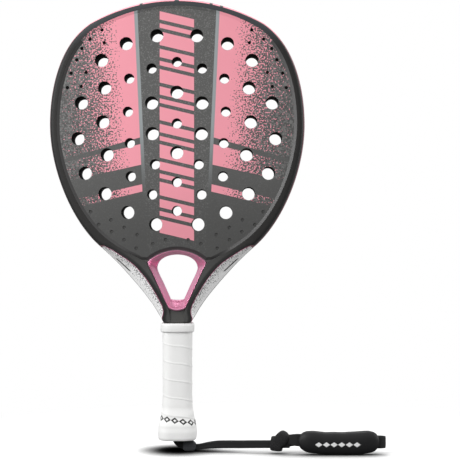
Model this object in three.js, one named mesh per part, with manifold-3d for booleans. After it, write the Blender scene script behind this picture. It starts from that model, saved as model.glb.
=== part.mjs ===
// Padel racket with a wrist strap, in millimetres, +Z up, face towards -Y.
// The racket stands on its strap hitch, and z = 0 is the surface under it.
// Outlines are drawn in the XZ plane with heights measured from the butt end.
import * as THREE from 'three';
import { mergeVertices } from 'three/addons/utils/BufferGeometryUtils.js';
import Module from 'manifold-3d';

const wasm = await Module();
wasm.setup();

// Driving dimensions
const BUTT_HEIGHT = 11.5;      // butt end above the surface that the hitch stands on
const HEAD_LENGTH = 447.4;     // butt end to crown
const HEAD_HALF_WIDTH = 130;
const WIDEST_HEIGHT = 320;
const RIM_WIDTH = 8.6;         // frame seen from the front, around the head
const THICKNESS = 38;
const TUBE_WALL = 1.6;
const SKIN = 1.2;              // face laminate
const SKIN_RECESS = 1;         // laminate below the rim's front
const GAP = 0.3;               // bond line between neighbouring pieces
const SHAFT_END = 119.2;       // frame's full-width shaft stops above the collar
const LEG_TOP = 118.8;         // two flat legs run down inside the handle
const LEG_BOTTOM = 8.4;
const BRIDGE_TOP = 203;        // solid laminate between the throat ring and the foam core
const HOLE_RADIUS = 6.5;
const SMALL_HOLE_RADIUS = 5;
const CUT_REACH = 60;          // longer than any piece that a drill or a trim passes through
const HANDLE_SIDES = 16;
const HOLE_SIDES = 10;
const SMALL_HOLE_SIDES = 8;

// Materials
const finish = (color, roughness, metalness = 0) =>
  new THREE.MeshStandardMaterial({ color, roughness, metalness });
const carbon = finish(0x2f2f31, 0.35);
const graphite = finish(0x5d5d5c, 0.5);
const magenta = finish(0xa85c7c, 0.3, 0.6);
const foam = finish(0xd8d4c8, 0.9);
const laminate = finish(0x3a3a3b, 0.6);
const grip = finish(0xf0f0ee, 0.7);
const plastic = finish(0x2a2a2a, 0.5);
const rubber = finish(0xe8e8e6, 0.6);
const steel = finish(0x9a9a9a, 0.35, 0.9);
const webbing = finish(0x232323, 0.85);
const neoprene = finish(0x2c2e31, 0.8);

// Geometry helpers
const at = (x, z) => new THREE.Vector2(x, z);
const mirrored = (point) => at(-point.x, point.y);
const mix = THREE.MathUtils.lerp;

function signedVolume(geometry) {
  const place = geometry.getAttribute('position');
  const index = geometry.getIndex();
  const [a, b, c] = [new THREE.Vector3(), new THREE.Vector3(), new THREE.Vector3()];
  let total = 0;
  for (let i = 0; i < index.count; i += 3) {
    a.fromBufferAttribute(place, index.getX(i));
    b.fromBufferAttribute(place, index.getX(i + 1));
    c.fromBufferAttribute(place, index.getX(i + 2));
    total += a.dot(b.cross(c));
  }
  return total;
}

function flipped(indices) {
  const turned = indices.slice();
  for (let i = 0; i < turned.length; i += 3) {
    turned[i] = indices[i + 1];
    turned[i + 1] = indices[i];
  }
  return turned;
}

// A body through equal rings of points; a looped body joins its last ring to its first.
function skinned(rings, looped = false) {
  const sides = rings[0].length;
  const indices = [];
  const spans = looped ? rings.length : rings.length - 1;
  for (let r = 0; r < spans; r += 1) {
    const here = r * sides;
    const next = ((r + 1) % rings.length) * sides;
    for (let s = 0; s < sides; s += 1) {
      const t = (s + 1) % sides;
      indices.push(here + s, here + t, next + t, here + s, next + t, next + s);
    }
  }
  if (!looped) {
    const last = (rings.length - 1) * sides;
    for (let s = 1; s < sides - 1; s += 1) {
      indices.push(0, s + 1, s, last, last + s, last + s + 1);
    }
  }
  const geometry = new THREE.BufferGeometry();
  geometry.setAttribute('position',
    new THREE.Float32BufferAttribute(rings.flat().flatMap((p) => [p.x, p.y, p.z]), 3));
  geometry.setIndex(indices);
  if (signedVolume(geometry) < 0) geometry.setIndex(flipped(indices));
  return geometry;
}

function solidOf(geometry) {
  const bare = geometry.clone();
  bare.deleteAttribute('normal');
  bare.deleteAttribute('uv');
  const merged = mergeVertices(bare, 1e-4);
  return new wasm.Manifold(new wasm.Mesh({
    numProp: 3,
    vertProperties: merged.getAttribute('position').array,
    triVerts: new Uint32Array(merged.getIndex().array),
  }));
}

function geometryOf(solid) {
  const mesh = solid.getMesh();
  const geometry = new THREE.BufferGeometry();
  geometry.setAttribute('position', new THREE.BufferAttribute(mesh.vertProperties, 3));
  geometry.setIndex(new THREE.BufferAttribute(mesh.triVerts, 1));
  return geometry;
}

// A plate whose outline is drawn in XZ and whose thickness runs from yFront to yBack.
function plate(points, yFront, yBack) {
  const depth = yBack - yFront;
  const slab = new THREE.ExtrudeGeometry(new THREE.Shape(points), { depth, bevelEnabled: false });
  slab.rotateX(Math.PI / 2);
  slab.translate(0, yBack, 0);
  return slab;
}

function boxBetween(low, high) {
  const size = high.map((value, i) => value - low[i]);
  const box = new THREE.BoxGeometry(...size);
  box.translate(...low.map((value, i) => value + size[i] / 2));
  return box;
}

const bezier = (...points) => new THREE.CubicBezierCurve(...points.map(([x, z]) => at(x, z)));
const straight = (from, to) => new THREE.LineCurve(at(...from), at(...to));

// Right half of the frame, crown to leg end. Each stretch pairs the outer edge with the
// inner edge, which is also the edge of the faces, and says how the section changes.
const SHOULDER = [88.9, 422.2];
const WAIST = [79.5, 196.8];
const RING_CORNER = [30.6, 180.5];
const RING_FOOT = [8.4, 133.2];
const LEG_OUTER = 10.8;
const LEG_INNER = 4;
const HALF_DEPTH = THICKNESS / 2;
const FOOT_HALF_DEPTH = 16.5;
const SHAFT_HALF_DEPTH = 14;
const LEG_HALF_DEPTH = 10.6;
const FACE_HALF_WIDTH = HEAD_HALF_WIDTH - RIM_WIDTH;
const STRETCHES = [
  {
    outer: bezier([0, HEAD_LENGTH], [40, HEAD_LENGTH], [69.2, 434.5], SHOULDER),
    inner: bezier([0, HEAD_LENGTH - RIM_WIDTH], [37, HEAD_LENGTH - RIM_WIDTH], [65, 426.5], [83.4, 415.6]),
    steps: 6, depth: [HALF_DEPTH, HALF_DEPTH], slope: [0, 0],
  },
  {
    outer: bezier(SHOULDER, [121.8, 401.7], [HEAD_HALF_WIDTH, 355.3], [HEAD_HALF_WIDTH, WIDEST_HEIGHT]),
    inner: bezier([83.4, 415.6], [114, 396], [FACE_HALF_WIDTH, 353], [FACE_HALF_WIDTH, WIDEST_HEIGHT]),
    steps: 7, depth: [HALF_DEPTH, HALF_DEPTH], slope: [0, 0],
  },
  {
    outer: bezier([HEAD_HALF_WIDTH, WIDEST_HEIGHT], [HEAD_HALF_WIDTH, 272.2], [106.4, 220.2], WAIST),
    inner: bezier([FACE_HALF_WIDTH, WIDEST_HEIGHT], [FACE_HALF_WIDTH, 276], [99, 226], [70, 203.5]),
    steps: 8, depth: [HALF_DEPTH, HALF_DEPTH], slope: [0, 0.4],
  },
  {
    outer: bezier(WAIST, [70.5, 188.9], [61.5, 180.5], [53, 171]),
    inner: bezier([70, 203.5], [58, 194], [44, 187], RING_CORNER),
    steps: 4, depth: [HALF_DEPTH, HALF_DEPTH], slope: [0.4, 1],
  },
  {
    outer: bezier([53, 171], [42.5, 159.2], [28, 143.1], [20, 128.8]),
    inner: straight(RING_CORNER, RING_FOOT),
    steps: 5, depth: [HALF_DEPTH, FOOT_HALF_DEPTH], slope: [1, 1],
  },
  {
    outer: straight([20, 128.8], [14.2, SHAFT_END]),
    inner: straight(RING_FOOT, [LEG_INNER + 2, SHAFT_END]),
    steps: 2, depth: [FOOT_HALF_DEPTH, SHAFT_HALF_DEPTH], slope: [1, 1],
  },
  {
    outer: straight([LEG_OUTER, LEG_TOP], [LEG_OUTER, LEG_BOTTOM]),
    inner: straight([LEG_INNER, LEG_TOP], [LEG_INNER, LEG_BOTTOM]),
    steps: 1, depth: [LEG_HALF_DEPTH, LEG_HALF_DEPTH], slope: [0, 0], fresh: true,
  },
];

// Sections from the inner edge (0) to the outer edge (1), against half depth.
const HEAD_SECTION = [[0, -1], [0.55, -1], [0.86, -0.84], [1, -0.45],
  [1, 0.45], [0.86, 0.84], [0.55, 1], [0, 1]];
const ARM_SECTION = [[0, -1], [0.34, -1], [0.7, -0.55], [1, -0.1],
  [1, 0.1], [0.7, 0.55], [0.34, 1], [0, 1]];

function halfStations() {
  const stations = [];
  STRETCHES.forEach(({ outer, inner, steps, depth, slope, fresh }, n) => {
    for (let i = n === 0 || fresh ? 0 : 1; i <= steps; i += 1) {
      const t = i / steps;
      stations.push({
        outer: outer.getPoint(t),
        inner: inner.getPoint(t),
        depth: mix(...depth, t),
        slope: mix(...slope, t),
      });
    }
  });
  return stations;
}

const RIGHT_HALF = halfStations();
const flipStation = (s) => ({ ...s, outer: mirrored(s.outer), inner: mirrored(s.inner) });
const STATIONS = [...RIGHT_HALF.slice(1).reverse().map(flipStation), ...RIGHT_HALF];

// One ring of the frame tube; inset is the wall for the bore, or zero for the outside.
function frameRing({ outer, inner, depth, slope }, inset) {
  const across = outer.clone().sub(inner);
  const width = across.length() - GAP;
  across.normalize();
  return HEAD_SECTION.map(([headAcross, headDeep], k) => {
    const [armAcross, armDeep] = ARM_SECTION[k];
    const reach = GAP + inset + mix(headAcross, armAcross, slope) * (width - 2 * inset);
    const y = mix(headDeep, armDeep, slope) * (depth - inset);
    return new THREE.Vector3(inner.x + across.x * reach, y, inner.y + across.y * reach);
  });
}

function frameTube() {
  const outside = STATIONS.map((s) => frameRing(s, 0));
  const bore = STATIONS.map((s) => frameRing(s, TUBE_WALL)).reverse();
  return skinned([...outside, ...bore], true);
}

// Throat ring: eight matched points of each outline on the right, top to bottom.
const RING_OUTER = [[0, 192.1], [15, 189.4], [26, 183.6], [29.4, 179], [26.6, 173.2], [19.4, 157.8],
  [10.2, 138], [7.2, 133.6], [0, 131.8]];
const RING_INNER = [[0, 187.8], [9.5, 186.4], [16.8, 182.4], [20.3, 176.5], [19.6, 170.5], [13.5, 157.5],
  [7.9, 145], [6.3, 142.3], [0, 141.6]];
const RING_CENTRE = at(0, 165);
const RING_STEPS = 48;
const RING_LIP = 5;            // half depth of the straight inner lip
const RING_HALF_DEPTH = 18.4;

function closedOutline(half, steps) {
  const right = half.map(([x, z]) => new THREE.Vector3(x, 0, z));
  const left = right.slice(1, -1).reverse().map((p) => new THREE.Vector3(-p.x, 0, p.z));
  const curve = new THREE.CatmullRomCurve3([...right, ...left], true, 'centripetal');
  return Array.from({ length: steps }, (_, i) => curve.getPoint(i / steps)).map((p) => at(p.x, p.z));
}

const ringOuter = closedOutline(RING_OUTER, RING_STEPS);
const ringInner = closedOutline(RING_INNER, RING_STEPS);

function throatInsert() {
  const rings = ringOuter.map((outer, i) => {
    const inner = ringInner[i];
    return [[inner, -RING_LIP], [outer, -RING_HALF_DEPTH], [outer, RING_HALF_DEPTH], [inner, RING_LIP]]
      .map(([p, y]) => new THREE.Vector3(p.x, y, p.y));
  });
  return skinned(rings, true);
}

// Everything inside the frame: the head's inside edge, down the arms to the shaft.
function insideOutline() {
  const right = RIGHT_HALF.filter((s) => s.inner.y >= SHAFT_END).map((s) => s.inner);
  const left = right.slice(1).reverse().map(mirrored);
  return [...left, ...right];
}

// The throat ring's outline grown by the bond line, as a cutter.
function ringCutter() {
  const grown = ringOuter.map((p) => p.clone().add(p.clone().sub(RING_CENTRE).setLength(GAP)));
  return solidOf(plate(grown, -CUT_REACH, CUT_REACH));
}

// Everything above or below a height, over more than the racket's width and length.
const FAR = 600;
const above = (height) => solidOf(boxBetween([-FAR, -CUT_REACH, height], [FAR, CUT_REACH, FAR]));
const below = (height) => solidOf(boxBetween([-FAR, -CUT_REACH, -FAR], [FAR, CUT_REACH, height]));

// Drilling plan: the holes on the centre line, then the mirrored pairs in columns.
const CENTRE_HOLES = [382, 320, 261, 232].map((z) => [0, z, SMALL_HOLE_RADIUS])
  .concat([351.5, 290.6].map((z) => [0, z, HOLE_RADIUS]));
const LARGE_PAIRS = [[20.1, 408.4], [51, 400.4], [75.8, 383.6], [72.7, 355.8], [96.1, 340.7],
  [25.4, 340.7], [74.6, 321.6], [24.7, 309.8], [99.6, 304.8], [70.2, 288.5], [92.2, 269.9],
  [72.3, 249.3], [49.4, 230.4], [21.2, 218.3]];
const SMALL_PAIRS = [[25.4, 375.4], [47.9, 365.2], [49.3, 331.9], [47.3, 300.2], [22, 278.9], [46.4, 266.8],
  [24.8, 248.5]];

function drills() {
  const pairs = [...LARGE_PAIRS.map(([x, z]) => [x, z, HOLE_RADIUS]),
    ...SMALL_PAIRS.map(([x, z]) => [x, z, SMALL_HOLE_RADIUS])];
  return [...CENTRE_HOLES, ...pairs.flatMap(([x, z, r]) => [[x, z, r], [-x, z, r]])];
}

function drilled(solid) {
  return drills().reduce((left, [x, z, radius]) => {
    const sides = radius > SMALL_HOLE_RADIUS ? HOLE_SIDES : SMALL_HOLE_SIDES;
    const drill = new THREE.CylinderGeometry(radius, radius, CUT_REACH, sides);
    drill.translate(x, 0, z);
    return left.subtract(solidOf(drill));
  }, solid);
}

const inside = insideOutline();
const cutRing = ringCutter();
const SKIN_FRONT = HALF_DEPTH - SKIN_RECESS;
const CORE_HALF_DEPTH = SKIN_FRONT - SKIN - GAP;

function faceSkin(yFront, yBack) {
  const sheet = solidOf(plate(inside, yFront, yBack)).subtract(cutRing).intersect(above(RING_CORNER[1]));
  return geometryOf(drilled(sheet));
}

function coreFoam() {
  const block = solidOf(plate(inside, -CORE_HALF_DEPTH, CORE_HALF_DEPTH));
  return geometryOf(drilled(block.intersect(above(BRIDGE_TOP + GAP))));
}

function throatBridge() {
  const block = solidOf(plate(inside, -CORE_HALF_DEPTH, CORE_HALF_DEPTH)).subtract(cutRing);
  return geometryOf(block.intersect(below(BRIDGE_TOP)).intersect(above(RING_CORNER[1])));
}

function shaftWedge() {
  const block = solidOf(plate(inside, -SHAFT_HALF_DEPTH, SHAFT_HALF_DEPTH)).subtract(cutRing);
  return geometryOf(block.intersect(below(RING_FOOT[1])));
}

// Handle pieces are sleeves of a rounded-square section, from [height, half width] lists.
const GRIP_OUTER = [[0.6, 19.2], [3, 20], [8, 20.2], [14, 19.6], [24, 17.3], [34, 15.6], [45, 15.2],
  [80, 15.2], [104, 15.4], [116.5, 15.4]];
const OVERGRIP_WALL = 0.8;
const BASE_GRIP_WALL = 1.2;
const SHELL_OUTER = 12.6;
const SHELL_WALL = 0.9;
const SHELL_SPAN = [8.4, 117.6];
const FOAM_SPAN = [8.4, 118.4];
const BASE_GRIP_END = [[112, 14.3]];
const TAPE_PROFILE = [[111, 16], [116, 16]];
const TAPE_WALL = 0.3;
const COLLAR_PROFILE = [[109.5, 16.6], [110.3, 17.1], [117.6, 17.1], [118.5, 16.6]];
const COLLAR_WALL = 0.4;
const CAP_END = [[0, 15.8]];
const CAP_RIM = 13.5;          // half width at the cap's open end
const CAP_TOP = 31;
const CAP_FLOOR = 3.2;
const SOCKET_FLOOR = 7.8;      // the handle shell stands in the cap from here up
const WELL_RADIUS = 10;        // round well below the socket, for the strap's stopper
const WELL_SIDES = 16;
const DEPTH_EXTRA = 1;         // the handle is a little deeper than it is wide
const SQUARENESS = 0.55;       // superellipse power: 1 is round, towards 0 is square
const CORD_HOLE_RADIUS = 7;
const CORD_HOLE_SIDES = 12;

function handleRing(height, halfWidth) {
  return Array.from({ length: HANDLE_SIDES }, (_, i) => {
    const angle = (i / HANDLE_SIDES) * 2 * Math.PI;
    const [c, s] = [Math.cos(angle), Math.sin(angle)];
    const x = Math.sign(c) * Math.abs(c) ** SQUARENESS * halfWidth;
    const y = Math.sign(s) * Math.abs(s) ** SQUARENESS * (halfWidth + DEPTH_EXTRA);
    return new THREE.Vector3(x, y, height);
  });
}

function sleeve(outside, inset) {
  const outer = outside.map(([z, halfWidth]) => handleRing(z, halfWidth));
  const bore = outside.map(([z, halfWidth]) => handleRing(z, halfWidth - inset)).reverse();
  return skinned([...outer, ...bore], true);
}

const thinner = (profile, amount) => profile.map(([z, halfWidth]) => [z, halfWidth - amount]);
const BASE_GRIP_OUTER = thinner(GRIP_OUTER, OVERGRIP_WALL + GAP);
const CAP_OUTER = thinner(BASE_GRIP_OUTER, BASE_GRIP_WALL + GAP).filter(([z]) => z < CAP_TOP);

// Tacks pin the cap to the handle from both sides; each is a shank with a sunk head.
const TACK_HEIGHT = 22;
const TACK_TIP = 11.3;
const TACK_HEAD = [13.9, 14.8];
const TACK_RADII = [0.8, 2];   // shank and head
const TACK_SIDES = 8;

function tackBody(side, clearance, reach) {
  const [shank, head] = TACK_RADII.map((radius) => radius + clearance);
  const tip = TACK_TIP - clearance;
  const step = TACK_HEAD[0] - clearance;
  const profile = [[0, tip], [shank, tip], [shank, step], [head, step], [head, reach], [0, reach]];
  const tack = new THREE.LatheGeometry(profile.map(([r, along]) => at(r, along)), TACK_SIDES);
  tack.rotateZ(-side * Math.PI / 2);
  tack.translate(0, 0, TACK_HEIGHT);
  return tack;
}

const buttTack = (side) => tackBody(side, 0, TACK_HEAD[1]);
const tackHoles = [-1, 1].map((side) => solidOf(tackBody(side, GAP, CUT_REACH)));
const tacked = (solid) => tackHoles.reduce((left, hole) => left.subtract(hole), solid);

// A cutter along the handle's axis.
function bore(radius, low, high, sides) {
  const cutter = new THREE.CylinderGeometry(radius, radius, high - low, sides);
  cutter.rotateX(Math.PI / 2);
  cutter.translate(0, 0, (low + high) / 2);
  return cutter;
}

function buttCap() {
  const outer = [...CAP_END, ...CAP_OUTER, [CAP_TOP, CAP_RIM]];
  const body = skinned(outer.map(([z, halfWidth]) => handleRing(z, halfWidth)));
  const socket = skinned([SOCKET_FLOOR, CUT_REACH].map((z) => handleRing(z, SHELL_OUTER + GAP)));
  const well = bore(WELL_RADIUS, CAP_FLOOR, SOCKET_FLOOR + GAP, WELL_SIDES);
  const hole = bore(CORD_HOLE_RADIUS, -CUT_REACH, CUT_REACH, CORD_HOLE_SIDES);
  const cup = [socket, well, hole].reduce((left, cut) => left.subtract(solidOf(cut)), solidOf(body));
  return geometryOf(tacked(cup));
}

function handleShell() {
  return geometryOf(tacked(solidOf(sleeve(SHELL_SPAN.map((z) => [z, SHELL_OUTER]), SHELL_WALL))));
}

function handleFoam() {
  const halfWidth = LEG_INNER - GAP;
  return boxBetween([-halfWidth, -LEG_HALF_DEPTH, FOAM_SPAN[0]], [halfWidth, LEG_HALF_DEPTH, FOAM_SPAN[1]]);
}

function baseGrip() {
  const straightPart = BASE_GRIP_OUTER.filter(([z]) => z < BASE_GRIP_END[0][0] - 8);
  return sleeve(straightPart.concat(BASE_GRIP_END), BASE_GRIP_WALL);
}

const overgrip = () => sleeve(GRIP_OUTER, OVERGRIP_WALL);
const finishingTape = () => sleeve(TAPE_PROFILE, TAPE_WALL);
const gripCollar = () => sleeve(COLLAR_PROFILE, COLLAR_WALL);

// Strap, at rest lying to the right and a little towards -Y.
const STOPPER_PROFILE = [[0, 0], [8, 0], [8.6, 1.4], [8, 2.8], [0, 2.8]];
const STOPPER_SIDES = 12;
const STOPPER_HEIGHT = CAP_FLOOR + 0.6;
const HITCH_LEFT = 5.8;
const HITCH_RIGHT = 19;
const HITCH_Y = -4;
const HITCH_HALF_DEPTH = 5.5;
const HITCH_OUTLINE = [[HITCH_LEFT, -10.6], [HITCH_LEFT + 1, -BUTT_HEIGHT],
  [HITCH_RIGHT - 1, -BUTT_HEIGHT], [HITCH_RIGHT, -10.4], [HITCH_RIGHT, -3.2],
  [HITCH_RIGHT - 2, -1.6], [HITCH_LEFT + 1, -1.4], [HITCH_LEFT, -2]];
const NECK_HALF_WIDTH = 6;
const NECK_TOP = CAP_FLOOR + 0.2;
const NECK_END = HITCH_LEFT - GAP;
const NECK_OUTLINE = [[-NECK_HALF_WIDTH, NECK_TOP], [-NECK_HALF_WIDTH, -0.6], [-3.6, -5], [0.4, -8.6],
  [NECK_END, -10.4], [NECK_END, -2], [NECK_HALF_WIDTH - 1, -1], [NECK_HALF_WIDTH - 0.4, NECK_TOP]];
const DOUBLE_WEBBING = 3.2;
const WEBBING_WIDTH = 12;
const WEBBING_THICKNESS = 1.6;
// Route points, with the share of the full height where the end is rounded about its hinge.
const TAIL_ROUTE = [[19.7, -6, -7.2, 0.25], [20.3, -6, -7.2, 0.58], [21.4, -6.1, -7.1, 0.83],
  [22.6, -6.4, -7, 0.97], [23.8, -6.8, -6.8], [31, -8.2, -5], [40, -10, -4.2], [113, -25, -1.6]];
const TAIL_HEIGHT = 8;
const TAIL_THICKNESS = 4;
const KEEPER_FROM = 0.735;     // keeper's left end along the straight part of the tail
const KEEPER_HALF = [5.3, 6, 8.2];
const KEEPER_RISE = 1.6;
const WRAP_RADIUS = 8;
const WRAP_DEPTH = 12;
const WRAP_SIDES = 16;
const WRAP_OFFSET = [5.5, -1, 4.6];
const PASSAGE_PLAY = [1.6, 1.4]; // the keeper's way through is this much higher and thicker than the tail
const LOOP_ROUTE = [[113.6, -26.6, -0.6], [115.6, -28.6, 0.2], [118, -30.4, 1], [121, -31, 1.2],
  [150, -31, 1.2], [175, -31, 1], [197, -31, 0.8], [203, -31, 0.8], [206.5, -30, 0.8],
  [208.6, -27.4, 0.8], [207, -24.6, 0.8], [203, -23.2, 0.8], [190, -22.8, 0.8], [170, -22.6, 1],
  [145, -22.6, 1.2], [127, -22.6, 1.2], [119, -22.4, 0.6], [114.4, -22.2, -0.4]];
const PAD_CENTRE = [161.3, -31, 1];
const PAD_LENGTH = 79.6;
const PAD_HEIGHT = 24.8;
const PAD_THICKNESS = 13;
const PAD_SLOT = [14, 3];      // height and thickness of the way through for the webbing
const PAD_COVER = 1.2;
const PAD_EDGE = 2.4;          // least material round the way through, at the pad's ends
const PAD_SIDES = 12;
const PAD_SQUARENESS = 0.7;

const BAND_CORNERS = [[1, 0.7], [0.7, 1], [-0.7, 1], [-1, 0.7],
  [-1, -0.7], [-0.7, -1], [0.7, -1], [1, -0.7]];

// A flat band along a route, with its width upright and its thickness sideways.
function band(route, width, thickness) {
  const points = route.map(([x, y, z]) => new THREE.Vector3(x, y, z));
  const rings = points.map((point, i) => {
    const ahead = points[Math.min(i + 1, points.length - 1)];
    const behind = points[Math.max(i - 1, 0)];
    const along = ahead.clone().sub(behind).normalize();
    const side = new THREE.Vector3().crossVectors(along, new THREE.Vector3(0, 0, 1)).normalize();
    const up = new THREE.Vector3().crossVectors(side, along);
    const share = route[i][3] ?? 1;
    return BAND_CORNERS.map(([s, u]) => point.clone().addScaledVector(side, s * thickness / 2)
      .addScaledVector(up, u * share * width / 2));
  });
  return skinned(rings);
}

// Flat round knot in the cap's well; the strap turns about its axis.
function strapStopper() {
  const knot = new THREE.LatheGeometry(STOPPER_PROFILE.map(([r, up]) => at(r, up)), STOPPER_SIDES);
  knot.rotateX(Math.PI / 2);
  knot.translate(0, 0, STOPPER_HEIGHT);
  return knot;
}

const uprightPlate = (outline, yFront, yBack) => plate(outline.map(([x, z]) => at(x, z)), yFront, yBack);
const strapAnchor = () => uprightPlate(NECK_OUTLINE, -DOUBLE_WEBBING / 2, DOUBLE_WEBBING / 2);
const strapHitch = () => uprightPlate(HITCH_OUTLINE, HITCH_Y - HITCH_HALF_DEPTH, HITCH_Y + HITCH_HALF_DEPTH);

const strapTail = () => band(TAIL_ROUTE, TAIL_HEIGHT, TAIL_THICKNESS);

// A sewn loop round the tail with a rounder wrap on top, both along the straight part of the tail.
function strapKeeper() {
  const [from, to] = TAIL_ROUTE.slice(-2).map((p) => new THREE.Vector3(...p));
  const along = to.clone().sub(from);
  const turn = Math.atan2(along.y, along.x);
  const near = from.clone().addScaledVector(along, KEEPER_FROM);
  const middle = near.addScaledVector(along.clone().normalize(), KEEPER_HALF[0]);
  const loop = boxBetween(KEEPER_HALF.map((half) => -half), KEEPER_HALF);
  loop.rotateZ(turn);
  loop.translate(middle.x, middle.y, middle.z + KEEPER_RISE);
  const wrap = new THREE.CylinderGeometry(WRAP_RADIUS, WRAP_RADIUS, WRAP_DEPTH, WRAP_SIDES);
  wrap.rotateZ(turn);
  wrap.translate(...middle.clone().add(new THREE.Vector3(...WRAP_OFFSET)).toArray());
  const beyond = to.clone().add(along);
  const passage = band([from.toArray(), beyond.toArray()], TAIL_HEIGHT + PASSAGE_PLAY[0],
    TAIL_THICKNESS + PASSAGE_PLAY[1]);
  return geometryOf(solidOf(loop).add(solidOf(wrap)).subtract(solidOf(passage)));
}

const wristLoop = () => band(LOOP_ROUTE, WEBBING_WIDTH, WEBBING_THICKNESS);

// Padded sleeve: oval rings along X, smaller at both ends, with a flat way through.
const PAD_STATIONS = [[-1, 0.52], [-0.95, 0.78], [-0.86, 0.95], [-0.7, 1],
  [0.7, 1], [0.86, 0.95], [0.95, 0.78], [1, 0.52]];

const softened = (value) => Math.sign(value) * Math.abs(value) ** PAD_SQUARENESS;

function padRing(along, halfHeight, halfThickness) {
  const [cx, cy, cz] = PAD_CENTRE;
  return Array.from({ length: PAD_SIDES }, (_, i) => {
    const angle = ((i + 0.5) / PAD_SIDES) * 2 * Math.PI;
    const y = cy + softened(Math.cos(angle)) * halfThickness;
    const z = cz + softened(Math.sin(angle)) * halfHeight;
    return new THREE.Vector3(cx + along * PAD_LENGTH / 2, y, z);
  });
}

// The pad's outside, brought in by a distance, and the plain way through for the webbing.
function padOutside(inset) {
  return PAD_STATIONS.map(([along, swell]) => {
    const halfHeight = Math.max(PAD_HEIGHT / 2 * swell, PAD_SLOT[0] / 2 + PAD_EDGE);
    const halfThickness = Math.max(PAD_THICKNESS / 2 * swell, PAD_SLOT[1] / 2 + PAD_EDGE);
    return padRing(along, halfHeight - inset, halfThickness - inset);
  });
}

const padWay = () => PAD_STATIONS.map(([along]) => padRing(along, PAD_SLOT[0] / 2, PAD_SLOT[1] / 2));
const between = (outer, inner) => skinned([...outer, ...inner.reverse()], true);
const padSleeve = () => between(padOutside(0), padOutside(PAD_COVER));
const padFoam = () => between(padOutside(PAD_COVER + GAP), padWay());

// Assembly
const racket = new THREE.Group();
racket.position.z = BUTT_HEIGHT;

function add(name, geometry, material) {
  const mesh = new THREE.Mesh(geometry, material);
  mesh.name = name;
  racket.add(mesh);
}

add('frame_tube', frameTube(), carbon);
add('throat_insert', throatInsert(), magenta);
add('throat_bridge', throatBridge(), laminate);
add('core_foam', coreFoam(), foam);
add('front_face', faceSkin(-SKIN_FRONT, -SKIN_FRONT + SKIN), graphite);
add('back_face', faceSkin(SKIN_FRONT - SKIN, SKIN_FRONT), graphite);
add('shaft_wedge', shaftWedge(), carbon);
add('handle_shell', handleShell(), laminate);
add('handle_foam', handleFoam(), foam);
add('butt_cap', buttCap(), plastic);
add('butt_tack_left', buttTack(-1), steel);
add('butt_tack_right', buttTack(1), steel);
add('base_grip', baseGrip(), grip);
add('overgrip', overgrip(), grip);
add('finishing_tape', finishingTape(), grip);
add('grip_collar', gripCollar(), rubber);
add('strap_stopper', strapStopper(), webbing);
add('strap_anchor', strapAnchor(), webbing);
add('strap_hitch', strapHitch(), webbing);
add('strap_tail', strapTail(), webbing);
add('strap_keeper', strapKeeper(), webbing);
add('wrist_loop', wristLoop(), webbing);
add('pad_sleeve', padSleeve(), neoprene);
add('pad_foam', padFoam(), foam);

const model = new THREE.Group();
model.add(racket);

export default model;
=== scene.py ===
"""Padel racket with a wrist strap: the looks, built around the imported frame."""
import math
import random

import bmesh
import bpy
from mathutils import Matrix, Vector
from mathutils.geometry import intersect_line_line_2d


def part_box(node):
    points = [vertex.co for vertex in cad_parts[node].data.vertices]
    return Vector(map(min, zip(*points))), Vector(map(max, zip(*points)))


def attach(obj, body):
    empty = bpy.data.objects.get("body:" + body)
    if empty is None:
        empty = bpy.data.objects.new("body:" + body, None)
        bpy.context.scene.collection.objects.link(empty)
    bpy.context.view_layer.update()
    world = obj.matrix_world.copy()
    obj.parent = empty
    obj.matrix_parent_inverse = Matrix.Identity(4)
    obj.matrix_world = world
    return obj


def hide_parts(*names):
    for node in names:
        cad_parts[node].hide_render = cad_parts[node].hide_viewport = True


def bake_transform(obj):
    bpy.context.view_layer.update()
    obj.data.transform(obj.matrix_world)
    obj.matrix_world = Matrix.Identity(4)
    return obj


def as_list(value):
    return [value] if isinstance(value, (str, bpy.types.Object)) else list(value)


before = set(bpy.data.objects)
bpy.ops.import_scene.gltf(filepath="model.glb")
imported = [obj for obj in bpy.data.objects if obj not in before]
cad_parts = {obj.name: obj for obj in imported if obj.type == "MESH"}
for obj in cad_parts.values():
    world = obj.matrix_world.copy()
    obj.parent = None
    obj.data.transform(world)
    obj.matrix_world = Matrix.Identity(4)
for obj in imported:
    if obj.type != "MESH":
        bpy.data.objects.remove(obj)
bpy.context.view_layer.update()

MM = 0.001

# ---- sizes from the frame, in millimetres
SHELL_INSET = 0.4  # from the frame's box to the shell's widest points
FRAME_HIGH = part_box("frame_tube")[1]
BUTT_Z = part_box("butt_cap")[0].z / MM
CROWN = FRAME_HIGH.z / MM - BUTT_Z
HALF_WIDTH = FRAME_HIGH.x / MM - SHELL_INSET
HALF_DEPTH = FRAME_HIGH.y / MM
SKIN_FRONT = -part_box("front_face")[0].y / MM
COLLAR_LOW, COLLAR_HIGH = (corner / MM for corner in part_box("grip_collar"))
HITCH_LOW, HITCH_HIGH = (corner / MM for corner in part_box("strap_hitch"))
FLOOR_Z = 0.0


def point(x, y, z):
    """A place given in millimetres, with its height measured from the butt end."""
    return Vector((x * MM, y * MM, (z + BUTT_Z) * MM))


def lerp(a, b, t):
    return a + (b - a) * t


def smooth(t):
    """A smooth step from 0 at t = 0 to 1 at t = 1."""
    t = min(max(t, 0.0), 1.0)
    return t * t * (3 - 2 * t)


def signed_power(value, power):
    return math.copysign(abs(value) ** power, value)


def directions(count):
    """Unit directions (cosine, sine) at equal angles all the way round."""
    angles = [2 * math.pi * i / count for i in range(count)]
    return [(math.cos(angle), math.sin(angle)) for angle in angles]


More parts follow.
